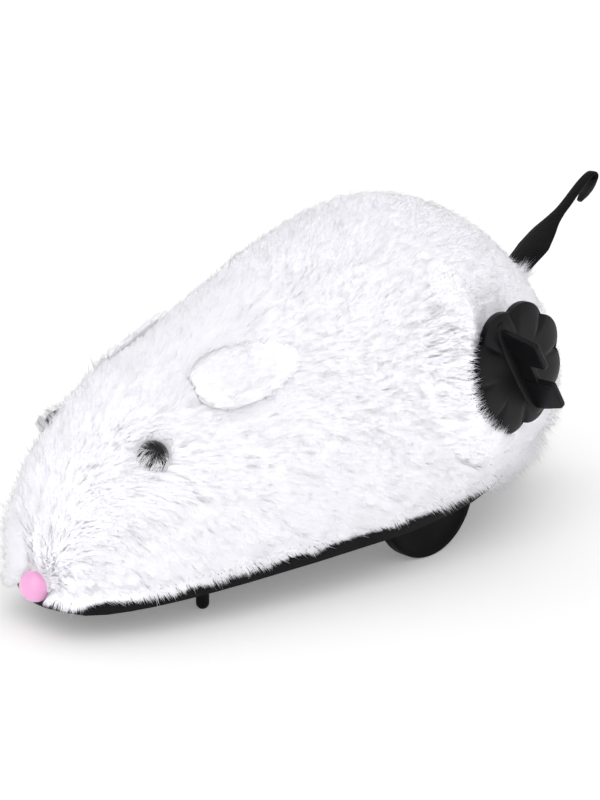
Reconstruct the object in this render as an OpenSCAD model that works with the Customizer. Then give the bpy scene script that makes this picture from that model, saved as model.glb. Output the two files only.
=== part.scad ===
// Clockwork mouse: a plush-covered shell on a wheeled base, with a wind-up motor inside.
// The nose points along -Y, the key side is +X and +Z is up.
// The origin is on the floor, in the middle, straight under the rear axle.

/* [Body] */
// Length of the plush body, from snout to rump
body_length = 102.5; // [100:0.5:105]
// Width of the plush body at its widest
body_width = 47.4; // [46.4:0.2:50]
// Height of the back above the floor
body_top = 49.6; // [48.6:0.2:53]
// How far the plush body's middle lies in front of the rear axle
body_ahead = 7; // [6.6:0.1:7.4]
// Depth of the plush, from its backing cloth to the ends of the pile
plush_depth = 2.6; // [2.4:0.1:3]
// Wall of the moulded body shell
shell_wall = 1.4; // [1:0.1:1.6]

/* [Base] */
// Upward slope of the base towards the tail, in degrees
base_tilt = 4.6; // [4:0.1:5]
// Height of the base's underside over the floor at the nose
base_nose_z = 3.3; // [3:0.1:3.6]
// Thickness of the base
base_thick = 2.4; // [2:0.1:2.6]
// Diameter of the two glide pegs under the chin
peg_d = 1.8; // [1.6:0.1:2.4]
// Sideways distance between the glide pegs
peg_spacing = 18; // [16:0.5:20]

/* [Wheels] */
// Diameter of the rear wheels
wheel_d = 18.2; // [17.6:0.1:18.6]
// Width of a rear wheel's tread
wheel_w = 2.3; // [2:0.1:2.6]
// Distance over the outer faces of the two rear wheels
wheel_track = 33; // [32.6:0.1:33.4]
// Diameter of the steel rear axle
axle_d = 2; // [1.8:0.1:2.2]

/* [Winding key] */
// Radius of the scalloped key, from its axis to the ends of its petals
key_r = 9.3; // [9:0.1:10]
// Number of petals around the key
petals = 8; // [8:1:8]
// Height of the key's axis over the floor
key_z = 28.3; // [28:0.1:28.5]
// How far the key's axis lies behind the rear axle
key_y = 7; // [6.8:0.1:7.2]
// Distance from the middle of the mouse to the key's outer face
key_face_x = 26.2; // [25.8:0.1:27]
// Height of the two finger wings over the key's face
wing_h = 5.3; // [4.5:0.1:6]
// Diameter of the winding arbor
arbor_d = 2.6; // [2.4:0.1:2.8]

/* [Clockwork] */
// Size of the gear teeth, as pitch diameter over tooth count
gear_module = 0.5; // [0.5:0.1:0.5]
// Teeth on the great gear
great_teeth = 36; // [36:1:36]
// Teeth on the intermediate pinion
mid_pinion_teeth = 10; // [10:1:10]
// Teeth on the intermediate gear
mid_gear_teeth = 28; // [28:1:28]
// Teeth on the pinion of the rear axle
axle_teeth = 9; // [9:1:9]
// Turns of the mainspring
spring_turns = 8; // [6:1:9]

/* [Face and tail] */
// Diameter of the eye beads
eye_d = 4.2; // [3.8:0.1:4.6]
// Diameter of the nose bead
nose_d = 4.35; // [4:0.05:4.6]
// Length of an ear from its root to its tip
ear_length = 14.5; // [13:0.5:16]
// Width of an ear
ear_width = 9; // [8:0.5:10]
// Width of the tail strip where it leaves the plush
tail_root_w = 5.8; // [5:0.1:6.2]
// Width of the thin part of the tail strip
tail_w = 1.9; // [1.6:0.1:2.2]
// Thickness of the tail strip
tail_t = 0.6; // [0.5:0.1:0.8]

/* [Hidden] */
$fn = 48;
EPS = 0.01;         // overrun of a cut past the face it opens
RUN = 0.05;         // radial clearance of a running fit
SNUG = 0.1;         // radial clearance round a bead or a screw
GAP = 0.3;          // air between layers that only lie on each other
SINK = 1;           // how deep a feature is rooted in the piece it grows from

// ---- body surface ----
// Half width and top of the body every 15 degrees of the sweep from snout to rump, as
// fractions of the widest half width and of the top height.
HALF_WIDTHS = [0, 0.31, 0.49, 0.63, 0.75, 0.86, 0.955, 1, 0.87, 0.62, 0.37, 0.17, 0];
TOPS = [0.26, 0.35, 0.505, 0.635, 0.725, 0.83, 0.945, 1, 0.92, 0.76, 0.58, 0.43, 0.36];
SWEEP_STEP = 15;
SECTIONS = 26;      // cross-sections along a body surface
RIBS = 18;          // facets from a section's lower edge to its top
WAIST = 0.36;       // height of the widest point, as a share of the section's height
ROUND = 1.06;       // power that makes a section a little fuller than an ellipse is tall
TUCK = 0.06;        // how much a section draws in at its lower edge, as a share of its width
REAR_TUCK = 0.4;    // how much more it draws in under the rump
REAR_SWEEP = [88, 163]; // sweep angles between which the rear tuck grows to its full size
END = 3;            // sweep angle left off each end, where the width comes to nothing

body_mid = -body_ahead;
tilt_pivot = [0, body_mid - body_length / 2 + 1.2, base_nose_z];
skirt = base_thick + 0.1;   // height of the body's lower edge over the base's underside

function base_z(y) = base_nose_z + (y - tilt_pivot.y) * tan(base_tilt);
// Smooth value between the entries of a list that are one sweep step apart
function eased(list, a) =
    let (k = a / SWEEP_STEP, i = min(floor(k), len(list) - 2), t = k - i,
         p0 = list[max(i - 1, 0)], p1 = list[i], p2 = list[i + 1],
         p3 = list[min(i + 2, len(list) - 1)])
    p1 + t / 2 * (p2 - p0 + t * (2 * p0 - 5 * p1 + 4 * p2 - p3 + t * (3 * (p1 - p2) + p3 - p0)));
function tuck(a) =
    TUCK + REAR_TUCK * min(1, max(0, (a - REAR_SWEEP[0]) / (REAR_SWEEP[1] - REAR_SWEEP[0])));
// A length drawn in by an inset, without ever passing zero
function drawn_in(length, inset) = length * length / (length + inset);
function place_y(a, inset) = body_mid - (body_length / 2 - inset) * cos(a);
function half_width(a, inset) = drawn_in(body_width / 2 * eased(HALF_WIDTHS, a), inset);
function section_point(a, rib, inset) =
    let (y = place_y(a, inset), low = base_z(y) + skirt,
         high = low + drawn_in(body_top * eased(TOPS, a) - low, inset),
         waist = low + WAIST * (high - low), b = -90 + 180 * rib / RIBS,
         side = max(half_width(a, inset), 0.2))
    b >= 0
        ? [side * pow(cos(b), ROUND), y, waist + (high - waist) * pow(sin(b), ROUND)]
        : [side * (1 - tuck(a) * pow(sin(b), 4)), y, waist + (waist - low) * sin(b)];
// One open cross-section, from the key side's lower edge over the back to the other side
function arch(a, inset) = [
    for (k = [0 : 2 * RIBS])
        let (p = section_point(a, k <= RIBS ? k : 2 * RIBS - k, inset))
        k <= RIBS ? p : [-p.x, p.y, p.z]
];
SWEEPS = [for (i = [0 : SECTIONS]) END + (180 - 2 * END) * i / SECTIONS];
function flatten(lists) = [for (list = lists) each list];
function reversed(list) = [for (i = [len(list) - 1 : -1 : 0]) list[i]];

// Solid under an arched body surface
module body_solid(inset) {
    n = 2 * RIBS + 1;
    quads = [
        for (i = [0 : SECTIONS - 1], k = [0 : n - 1])
            [i * n + k, i * n + (k + 1) % n, (i + 1) * n + (k + 1) % n, (i + 1) * n + k]
    ];
    first_cap = [for (k = [n - 1 : -1 : 0]) k];
    last_cap = [for (k = [0 : n - 1]) SECTIONS * n + k];
    polyhedron(flatten([for (a = SWEEPS) arch(a, inset)]),
               concat(quads, [first_cap, last_cap]));
}

// Hood between two insets of the body surface, open underneath
module body_hood(outer, inner) {
    n = 2 * RIBS + 1;
    m = (SECTIONS + 1) * n;
    skins = [
        for (i = [0 : SECTIONS - 1], k = [0 : n - 2])
            each [[i * n + k, i * n + k + 1, (i + 1) * n + k + 1, (i + 1) * n + k],
                  [m + i * n + k, m + (i + 1) * n + k, m + (i + 1) * n + k + 1, m + i * n + k + 1]]
    ];
    edges = [
        for (i = [0 : SECTIONS - 1])
            each [[i * n, (i + 1) * n, m + (i + 1) * n, m + i * n],
                  [i * n + n - 1, m + i * n + n - 1, m + (i + 1) * n + n - 1, (i + 1) * n + n - 1]]
    ];
    last = SECTIONS * n;
    caps = [
        [for (k = [n - 1 : -1 : 0]) k],
        [for (k = [0 : n - 1]) last + k],
        [for (k = [0 : n - 1]) m + k],
        [for (k = [n - 1 : -1 : 0]) m + last + k],
        [0, m, m + n - 1, n - 1],
        [last, last + n - 1, m + last + n - 1, m + last]
    ];
    points = concat(flatten([for (a = SWEEPS) arch(a, outer)]),
                    flatten([for (a = SWEEPS) arch(a, inner)]));
    polyhedron(points, concat(skins, edges, caps));
}

// ---- gears ----
PRESSURE = 25;      // pressure angle of the teeth
TOOTH_TOP = 0.8;    // tooth height over the pitch circle, in modules
TOOTH_FOOT = 1.1;   // tooth depth under the pitch circle, in modules
THINNING = 0.07;    // how much thinner a tooth is than half the pitch, for backlash
FLANK_STEPS = 4;

function degrees_of(x) = x * 180 / PI;
function involute_unit(roll) =
    [cos(roll) + sin(roll) * roll * PI / 180, sin(roll) - cos(roll) * roll * PI / 180];
function roll_at(base, r) = r <= base ? 0 : degrees_of(sqrt(pow(r / base, 2) - 1));
function turned(p, a) = [p.x * cos(a) - p.y * sin(a), p.x * sin(a) + p.y * cos(a)];
function pitch_r(teeth) = gear_module * teeth / 2;
function gear_outline(teeth) =
    let (r = pitch_r(teeth), base = r * cos(PRESSURE), top = r + TOOTH_TOP * gear_module,
         foot = r - TOOTH_FOOT * gear_module, start = roll_at(base, max(foot, base)),
         stop = roll_at(base, top),
         half = 90 / teeth + degrees_of(tan(PRESSURE)) - PRESSURE - degrees_of(THINNING / 2 / r),
         flank = [for (i = [0 : FLANK_STEPS])
             turned(base * involute_unit(start + (stop - start) * i / FLANK_STEPS), -half)],
         root = foot < base ? [turned([foot, 0], -half)] : [],
         right = concat(root, flank),
         left = [for (i = [len(right) - 1 : -1 : 0]) [right[i].x, -right[i].y]])
    [for (t = [0 : teeth - 1], p = concat(right, left)) turned(p, 360 * t / teeth)];

// Draws in the side view: x becomes Y, y becomes Z, and height becomes X, from a given X
module side_view(x) {
    translate([x, 0, 0]) rotate([90, 0, 90]) children();
}
module gear_blank(teeth, phase, at, x, thick, bore) {
    side_view(x) translate(at) difference() {
        rotate(phase) linear_extrude(thick) polygon(gear_outline(teeth));
        translate([0, 0, -EPS]) cylinder(h = thick + 2 * EPS, d = bore);
    }
}
module rod_x(at, x0, x1, d) {
    side_view(x0) translate(at) cylinder(h = x1 - x0, d = d);
}

// Axes of the train in the side view
AXLE = [0, wheel_d / 2];
KEY = [key_y, key_z];
key_to_mid = pitch_r(great_teeth) + pitch_r(mid_pinion_teeth);
mid_to_axle = pitch_r(mid_gear_teeth) + pitch_r(axle_teeth);
key_to_axle = norm(AXLE - KEY);
along = (pow(key_to_mid, 2) - pow(mid_to_axle, 2) + pow(key_to_axle, 2)) / 2 / key_to_axle;
aside = sqrt(pow(key_to_mid, 2) - pow(along, 2));
down_line = (AXLE - KEY) / key_to_axle;
MID = KEY + along * down_line + aside * [down_line.y, -down_line.x];
great_phase = atan2(MID.y - KEY.y, MID.x - KEY.x);
low_phase = atan2(AXLE.y - MID.y, AXLE.x - MID.x);

// Stations of the train across the mouse
PLATE_IN = 7;       // inner face of a motor plate
PLATE_T = 0.8;      // thickness of a motor plate
GREAT_X = 3.2;
GREAT_T = 1.8;
MID_GEAR_X = 1;
MID_GEAR_T = 1.6;
CLICK_X = 5.3;
CLICK_T = 0.8;
SPRING_X = -6.3;
SPRING_W = 6.6;
SPRING_T = 0.3;
SPRING_COIL_R = 8.7;    // radius of the half-wound spring's outer coil
SPRING_LOOP_T = 0.45;   // wall of the loop at the spring's outer end
SPRING_STEPS = 24;      // straight pieces in one turn of the spring
SPRING_LEAD = 30;       // power that keeps the coils even until the last one swings out
PINION_SIDE = 0.3;      // how much wider the axle pinion is than its gear, on each side
PIN_D = 1.4;
ARBOR_STUB = 1.6;       // how far the arbor runs out past the far motor plate's inner face
ARBOR_TIP = 0.2;        // air between the arbor's end and the key's outer face
PILLAR_D = 2.4;
PILLARS = [[-5.8, 25.6], [17.2, 22], [15.5, 38.2], [-1, 37.5]];
HOOK_PILLAR = PILLARS[2];
SEAT_Z = 13.2;      // level top of the posts that carry the motor
POST_D = 4.4;
POST_HOLE = 4;      // depth of the screw hole in a post
POSTS = [[10.4, -8], [10.4, 13]];
PLATE_LUG = 3.2;    // half width of the lug that carries the rear axle
PLATE_OUTLINE = [
    [-PLATE_LUG, 6.9], [PLATE_LUG, 6.9], [PLATE_LUG, SEAT_Z], [16, SEAT_Z], [19.4, 20],
    [19.4, 30], [17.8, 36.6], [16, 39.2], [8, 41], [-3, 39.4], [-8, 26], [-10.5, 18],
    [-10.5, SEAT_Z], [-PLATE_LUG, SEAT_Z]
];
FOOT = [5.8, 5];    // a motor plate's foot, across the mouse and along it

// ---- screws ----
SCREW_D = 1.8;
SCREW_HEAD_D = 3.6;
SCREW_HEAD_T = 1.2;
SCREW_DRIVE = [2.4, 0.5];   // length and width of the cross recess
MOTOR_SCREW_L = 3.6;
BASE_SCREW_L = 7;

// ---- ratchet ----
RATCHET_TEETH = 12;
RATCHET_R = 4.2;
RATCHET_FOOT = 3.3;
CLICK_PIVOT = [5.8, -5];    // from the arbor's axis, with a ratchet tooth's face along +x
CLICK_BOSS_D = 2.3;
CLICK_ARM = [[3.55, -0.85], [4, -1.9], [5.1, -4.4], [6.3, -4.2], [4.5, -0.9]];
STUD_D = 1.2;
STUD_HEAD_D = 2;
STUD_HEAD_T = 0.3;

// ---- base ----
WHEEL_AIR = 0.8;    // room round a wheel in its slot and in its well
WHEEL_SLOT_L = wheel_d + 2.6;
MOTOR_SLOT = [16.8, 13];
MOTOR_SLOT_Y = 0.5;
AXLE_SLOT = 3.4;
SLOT_CUT = 12;      // height of the cuts through the base
BASE_BOSSES = [[0, -43], [7.5, 24.5], [-7.5, 24.5]];
BOSS_D = 4.6;
BOSS_AIR = 0.4;     // air between a boss and the body's lower edge
PILOT = 9;          // height of a boss's screw hole over the base's underside
PAD = [14, 12];     // flat pad under the belly
PAD_Y = -24;
PAD_T = 0.4;
PEG_Y = -36.5;
LIP = 1;            // width of the lip round the underside
RECESS = 0.6;       // depth of the underside inside its lip

// ---- wheels ----
WHEEL_WEB = 1;      // depth of the hollow in a wheel's inner face
WHEEL_RIM = 1.5;    // thickness of the rim and of the hub round that hollow
WHEEL_FACE = 0.6;   // thickness of the outer face over the axle's end

function base_outline(shrink) = [
    for (side = [1, -1], i = [0 : SECTIONS])
        let (a = SWEEPS[side > 0 ? i : SECTIONS - i])
        [side * ((1 - tuck(a)) * half_width(a, 0) - shrink * sin(a)),
         place_y(a, 1.6 + shrink) - tilt_pivot.y]
];
// Draws in the tilted plane of the base's underside, with y measured from the nose end
module on_base() {
    translate(tilt_pivot) rotate([base_tilt, 0, 0]) children();
}
module glide_peg() {
    translate([0, PEG_Y, peg_d / 2]) {
        sphere(d = peg_d);
        cylinder(h = base_z(PEG_Y) + SINK - peg_d / 2, d = peg_d);
    }
}

// ---- key ----
KEY_T = 2;          // thickness of the key's scalloped disc
RING_SHARE = 0.59;  // where the petals' centres lie, as a share of the key's radius
FLOOR_SHARE = 1.12; // radius of the disc between the petals, as a share of their ring's
PETAL_PHASE = 78.8; // angle of the first petal from the rear towards the top
WING_ANGLE = 123.2; // angle of the wings' plane from the rear towards the top
WING_T = 0.9;
WING_HALF = 7.3;    // half the wings' span at their root
WING_TOP = 5.9;     // half the wings' span at their outer edge
WING_GAP = 1.45;    // half the gap between the wings
WING_FOOT = 0.6;    // height of the upright stretch at a wing's root
WING_CHAMFER = [0.3, 0.8];  // how a wing's outer corner is cut back, along the span and down
WEB_SHARE = 0.5;    // height of the web between the wings, as a share of theirs
HUB_D = 4.4;
HUB_H = 0.8;

// ---- face, ears and tail ----
EYE = [9.7, -45.1, 23.2];
EYE_OUT = [0.72, -0.25, 0.65];
NOSE = [0, -56.9, 6.2];
NOSE_BACK = [0, 0.94, 0.34];
SHANK_D = 1.4;
SHANK_L = 5.5;      // length of a bead's shank from the bead's middle
HOLE_IN = 6;        // how far a bead's hole reaches inward from the bead's middle
HOLE_OUT = 10;      // and outward
EAR = [9.2, -37.6, 30.3];
EAR_ALONG = [0.25, 0.955, 0.16];
EAR_OUT = [0.61, -0.28, 0.74];
EAR_T = 0.9;
EAR_STEPS = 14;     // straight pieces along one edge of an ear
TAIL_ROOT = [33.5, 32.3];
TAIL_SLOPE = 37;
TAIL_SLOT = [16, 5.2];  // length and height of the slot that the tail swings in
TAIL_PATH = [[29.6, 29.3], [33.5, 32.4], [37.4, 35.4], [44.3, 40.4], [50.3, 44.7],
             [53.6, 46.9], [54.7, 46.8], [54.3, 45.6], [51.4, 42.9]];

// Points +Z of its children along a direction, with +X as near to another as it can be
module aimed(at, out, along) {
    z = out / norm(out);
    flat = along - (along * z) * z;
    x = flat / norm(flat);
    y = cross(z, x);
    multmatrix([[x.x, y.x, z.x, at.x], [x.y, y.y, z.y, at.y], [x.z, y.z, z.z, at.z],
                [0, 0, 0, 1]]) children();
}
module mirrored(side) {
    if (side > 0) {
        children();
    } else {
        mirror([1, 0, 0]) children();
    }
}

// Block on the base's underside, from a depth below it to where it is rooted
module pad_block(depth) {
    translate([-PAD.x / 2, PAD_Y - tilt_pivot.y - PAD.y / 2, -depth])
        cube([PAD.x, PAD.y, depth + SINK]);
}

module base() {
    slot_x = wheel_track / 2 - wheel_w / 2;
    color("black") {
        difference() {
            union() {
                on_base() linear_extrude(base_thick) polygon(base_outline(0));
                for (p = POSTS, side = [1, -1]) translate([side * p.x, p.y, base_z(p.y) + SINK])
                    cylinder(h = SEAT_Z - base_z(p.y) - SINK, d = POST_D);
            }
            on_base() translate([0, 0, -EPS]) difference() {
                linear_extrude(RECESS) polygon(base_outline(LIP));
                pad_block(SINK);
            }
            for (side = [1, -1]) translate([side * slot_x, 0, AXLE.y])
                cube([wheel_w + 2 * WHEEL_AIR, WHEEL_SLOT_L, SLOT_CUT], center = true);
            translate([0, 0, AXLE.y]) cube([2 * slot_x, AXLE_SLOT, SLOT_CUT], center = true);
            translate([0, MOTOR_SLOT_Y, AXLE.y])
                cube([MOTOR_SLOT.x, MOTOR_SLOT.y, SLOT_CUT], center = true);
            for (p = POSTS, side = [1, -1]) translate([side * p.x, p.y, SEAT_Z - POST_HOLE])
                cylinder(h = POST_HOLE + EPS, d = SCREW_D);
            for (b = BASE_BOSSES) translate([b.x, b.y, base_z(b.y) - SINK]) {
                cylinder(h = PILOT, d = SCREW_D + 4 * SNUG);
                cylinder(h = SINK + SCREW_HEAD_T, d = SCREW_HEAD_D + 4 * SNUG);
            }
            translate(NOSE) sphere(d = nose_d + 2 * SNUG);
        }
        for (side = [1, -1]) translate([side * peg_spacing / 2, 0, 0]) glide_peg();
        on_base() pad_block(PAD_T);
    }
}

// Room for a wheel in the wall of the shell
module wheel_well() {
    rod_x(AXLE, wheel_track / 2 - wheel_w - WHEEL_AIR, wheel_track / 2 + WHEEL_AIR,
          wheel_d + 2 * WHEEL_AIR);
}

// Passages through the shell and the plush for the arbor, the eyes, the nose and the tail
module passages(arbor_hole, eye_hole, nose_hole) {
    rod_x(KEY, PLATE_IN + 2 * PLATE_T, key_face_x, arbor_hole);
    for (side = [1, -1]) mirrored(side) aimed(EYE, EYE_OUT, [0, 1, 0])
        translate([0, 0, -HOLE_IN]) cylinder(h = HOLE_IN + HOLE_OUT, d = eye_hole);
    aimed(NOSE, NOSE_BACK, [1, 0, 0])
        translate([0, 0, -HOLE_OUT]) cylinder(h = HOLE_OUT + HOLE_IN, d = nose_hole);
    translate([0, TAIL_ROOT.x, TAIL_ROOT.y]) rotate([TAIL_SLOPE, 0, 0])
        cube([tail_root_w + 1, TAIL_SLOT.x, TAIL_SLOT.y], center = true);
}

module body_shell() {
    outer = plush_depth + GAP;
    color("whitesmoke") difference() {
        union() {
            body_hood(outer, outer + shell_wall);
            intersection() {
                union() {
                    for (b = BASE_BOSSES) translate([b.x, b.y, base_z(b.y) + skirt + BOSS_AIR])
                        cylinder(h = body_top, d = BOSS_D);
                }
                body_solid(outer + shell_wall / 2);
            }
        }
        passages(arbor_d + 4 * GAP, SHANK_D, SHANK_D);
        translate(NOSE) sphere(d = nose_d + 2 * SNUG);
        for (side = [1, -1]) mirrored(side) {
            wheel_well();
            translate(EYE) sphere(d = eye_d + 2 * SNUG);
        }
        for (b = BASE_BOSSES) translate([b.x, b.y, base_z(b.y)])
            cylinder(h = PILOT, d = SCREW_D);
    }
}

module plush_cover() {
    color("white") difference() {
        body_hood(0, plush_depth);
        passages(arbor_d + 6 * GAP, eye_d + 2 * SNUG, nose_d + 2 * SNUG);
    }
}

// Half width of the leaf-shaped ear at a share of its length
function ear_half(t) = ear_width / 2 * sqrt(sin(180 * pow(0.02 + 0.975 * t, 0.75)));
module ear() {
    aimed(EAR, EAR_OUT, EAR_ALONG) linear_extrude(EAR_T) polygon([
        for (side = [1, -1], i = [0 : EAR_STEPS])
            let (t = (side > 0 ? i : EAR_STEPS - i) / EAR_STEPS)
            [ear_length * t, side * ear_half(t)]
    ]);
}
module ear_left() {
    color("white") ear();
}
module ear_right() {
    color("white") mirrored(-1) ear();
}

module eye() {
    aimed(EYE, EYE_OUT, [0, 1, 0]) {
        sphere(d = eye_d);
        translate([0, 0, -SHANK_L]) cylinder(h = SHANK_L, d = SHANK_D);
    }
}
module eye_left() {
    color("black") eye();
}
module eye_right() {
    color("black") mirrored(-1) eye();
}
module nose_bead() {
    color("hotpink") aimed(NOSE, NOSE_BACK, [1, 0, 0]) {
        sphere(d = nose_d);
        cylinder(h = SHANK_L, d = SHANK_D);
    }
}

// The strip runs along a bent path in the side view and narrows behind its root
module tail_strip() {
    n = len(TAIL_PATH);
    normals = [
        for (i = [0 : n - 1])
            let (d = TAIL_PATH[min(i + 1, n - 1)] - TAIL_PATH[max(i - 1, 0)])
            [-d.y, d.x] / norm(d) * tail_t / 2
    ];
    ribbon = concat([for (i = [0 : n - 1]) TAIL_PATH[i] + normals[i]],
                    [for (i = [n - 1 : -1 : 0]) TAIL_PATH[i] - normals[i]]);
    root_end = TAIL_PATH[2].x;
    neck = TAIL_PATH[3].x;
    far = body_length;
    edge = [[tail_root_w / 2, 0], [tail_root_w / 2, root_end], [tail_w / 2, neck],
            [tail_w / 2, far]];
    color("black") intersection() {
        side_view(-tail_root_w / 2) linear_extrude(tail_root_w) polygon(ribbon);
        linear_extrude(far)
            polygon(concat(edge, [for (i = [3 : -1 : 0]) [-edge[i].x, edge[i].y]]));
    }
}

module winding_key() {
    ring = key_r * RING_SHARE;
    back = key_face_x - KEY_T;
    wing = [
        [WING_HALF, -SINK], [WING_HALF, WING_FOOT],
        [WING_TOP + WING_CHAMFER.x, wing_h - WING_CHAMFER.y], [WING_TOP, wing_h],
        [WING_GAP, wing_h], [WING_GAP, wing_h * WEB_SHARE]
    ];
    color("#161616") side_view(back) translate(KEY) difference() {
        union() {
            linear_extrude(KEY_T) union() {
                circle(r = ring * FLOOR_SHARE);
                for (k = [0 : petals - 1]) rotate(PETAL_PHASE + 360 / petals * k)
                    translate([ring, 0]) circle(r = key_r - ring);
            }
            translate([0, 0, KEY_T]) rotate(WING_ANGLE) rotate([90, 0, 0])
                translate([0, 0, -WING_T / 2]) linear_extrude(WING_T) polygon([
                    for (side = [-1, 1], p = side < 0 ? wing : reversed(wing)) [side * p.x, p.y]
                ]);
            translate([0, 0, KEY_T - SINK]) cylinder(h = SINK + HUB_H, d = HUB_D);
        }
        translate([0, 0, -EPS]) cylinder(h = KEY_T, d = arbor_d);
    }
}

module winding_arbor() {
    color("silver") rod_x(KEY, -PLATE_IN - ARBOR_STUB, key_face_x - ARBOR_TIP, arbor_d);
}
module great_gear() {
    color("goldenrod") difference() {
        gear_blank(great_teeth, great_phase, KEY, GREAT_X, GREAT_T, arbor_d);
        side_view(GREAT_X - EPS) translate(KEY) rotate(great_phase)
            translate(CLICK_PIVOT) cylinder(h = GREAT_T + 2 * EPS, d = STUD_D);
    }
}
module ratchet_wheel() {
    step = 360 / RATCHET_TEETH;
    color("silver") side_view(CLICK_X) translate(KEY) rotate(great_phase) difference() {
        linear_extrude(CLICK_T) polygon([
            for (i = [0 : RATCHET_TEETH - 1])
                each [turned([RATCHET_FOOT, 0], i * step), turned([RATCHET_R, 0], i * step)]
        ]);
        translate([0, 0, -EPS]) cylinder(h = CLICK_T + 2 * EPS, d = arbor_d);
    }
}
module click() {
    color("silver") side_view(CLICK_X) translate(KEY) rotate(great_phase) difference() {
        linear_extrude(CLICK_T) union() {
            translate(CLICK_PIVOT) circle(d = CLICK_BOSS_D);
            polygon(CLICK_ARM);
        }
        translate([CLICK_PIVOT.x, CLICK_PIVOT.y, -EPS])
            cylinder(h = CLICK_T + 2 * EPS, d = STUD_D + 2 * RUN);
    }
}
module click_stud() {
    head_x = CLICK_X + CLICK_T + SNUG;
    color("silver") side_view(GREAT_X) translate(KEY) rotate(great_phase)
        translate(CLICK_PIVOT) {
            cylinder(h = head_x + STUD_HEAD_T - GREAT_X, d = STUD_D);
            translate([0, 0, head_x - GREAT_X]) cylinder(h = STUD_HEAD_T, d = STUD_HEAD_D);
        }
}

// Flat spiral strip, from the arbor it wraps to a loop round its pillar
module mainspring() {
    start_r = arbor_d / 2 + RUN + SPRING_T / 2;
    to_pillar = HOOK_PILLAR - KEY;
    loop_r = PILLAR_D / 2 + RUN;
    stop_r = norm(to_pillar) - loop_r - SPRING_LOOP_T / 2;
    stop_a = atan2(to_pillar.y, to_pillar.x);
    steps = spring_turns * SPRING_STEPS;
    function coil_r(t) =
        start_r + (SPRING_COIL_R - start_r) * t
        + (stop_r - SPRING_COIL_R) * pow(t, SPRING_LEAD);
    function coil(side) = [
        for (i = [0 : steps])
            let (t = i / steps, a = stop_a - 360 * spring_turns * (1 - t))
            turned([coil_r(t) + side * SPRING_T / 2, 0], a)
    ];
    color("steelblue") side_view(SPRING_X) difference() {
        union() {
            translate(KEY) linear_extrude(SPRING_W)
                polygon(concat(coil(1), reversed(coil(-1))));
            translate(HOOK_PILLAR) cylinder(h = SPRING_W, r = loop_r + SPRING_LOOP_T);
        }
        translate([HOOK_PILLAR.x, HOOK_PILLAR.y, -EPS])
            cylinder(h = SPRING_W + 2 * EPS, r = loop_r);
    }
}

module intermediate_gear() {
    bore = PIN_D + 2 * RUN;
    pinion_x = MID_GEAR_X + SINK;
    color("goldenrod") {
        gear_blank(mid_gear_teeth, low_phase, MID, MID_GEAR_X, MID_GEAR_T, bore);
        gear_blank(mid_pinion_teeth, great_phase + 180 + 180 / mid_pinion_teeth, MID,
                   pinion_x, GREAT_X + GREAT_T + SNUG - pinion_x, bore);
    }
}
module intermediate_pin() {
    color("silver") rod_x(MID, -PLATE_IN - PLATE_T, PLATE_IN + PLATE_T, PIN_D);
}
module axle_pinion() {
    color("goldenrod") gear_blank(axle_teeth, low_phase + 180 + 180 / axle_teeth, AXLE,
                                  MID_GEAR_X - PINION_SIDE, MID_GEAR_T + 2 * PINION_SIDE,
                                  axle_d);
}
module rear_axle() {
    half = wheel_track / 2 - WHEEL_FACE;
    color("silver") rod_x(AXLE, -half, half, axle_d);
}
// Plain disc wheel with a sunk web inside and a closed outer face
module wheel(side) {
    color("black") mirrored(side) side_view(wheel_track / 2 - wheel_w) translate(AXLE)
        difference() {
            cylinder(h = wheel_w, d = wheel_d, $fn = 96);
            translate([0, 0, -EPS]) difference() {
                cylinder(h = WHEEL_WEB + EPS, d = wheel_d - 2 * WHEEL_RIM);
                cylinder(h = WHEEL_WEB + EPS, d = axle_d + 2 * WHEEL_RIM);
            }
            translate([0, 0, -EPS]) cylinder(h = wheel_w - WHEEL_FACE + EPS, d = axle_d);
        }
}
module wheel_left() {
    wheel(1);
}
module wheel_right() {
    wheel(-1);
}

module motor_plate(side) {
    color("lightgray") mirrored(side) difference() {
        union() {
            side_view(PLATE_IN) linear_extrude(PLATE_T) polygon(PLATE_OUTLINE);
            for (p = POSTS) translate([PLATE_IN, p.y - FOOT.y / 2, SEAT_Z])
                cube([FOOT.x, FOOT.y, PLATE_T]);
        }
        rod_x(KEY, 0, 2 * PLATE_IN, arbor_d + 2 * RUN);
        rod_x(MID, 0, 2 * PLATE_IN, PIN_D);
        rod_x(AXLE, 0, 2 * PLATE_IN, axle_d + 2 * RUN);
        for (p = POSTS) translate([p.x, p.y, SEAT_Z - SINK])
            cylinder(h = PLATE_T + 2 * SINK, d = SCREW_D + 2 * SNUG);
    }
}
module motor_plate_left() {
    motor_plate(1);
}
module motor_plate_right() {
    motor_plate(-1);
}
module motor_pillars() {
    color("silver") for (p = PILLARS) rod_x(p, -PLATE_IN, PLATE_IN, PILLAR_D);
}
// Screw with its head's seat at height 0 and its shank below
module screw(length) {
    translate([0, 0, -length]) cylinder(h = length, d = SCREW_D);
    difference() {
        cylinder(h = SCREW_HEAD_T, d = SCREW_HEAD_D);
        for (turn = [0, 90]) translate([0, 0, SCREW_HEAD_T]) rotate(turn)
            cube([SCREW_DRIVE.x, SCREW_DRIVE.y, SCREW_HEAD_T], center = true);
    }
}
module motor_screws() {
    color("silver") for (p = POSTS, side = [1, -1])
        translate([side * p.x, p.y, SEAT_Z + PLATE_T]) screw(MOTOR_SCREW_L);
}
module base_screws() {
    color("silver") for (b = BASE_BOSSES)
        translate([b.x, b.y, base_z(b.y) + SCREW_HEAD_T]) mirror([0, 0, 1]) screw(BASE_SCREW_L);
}

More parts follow.
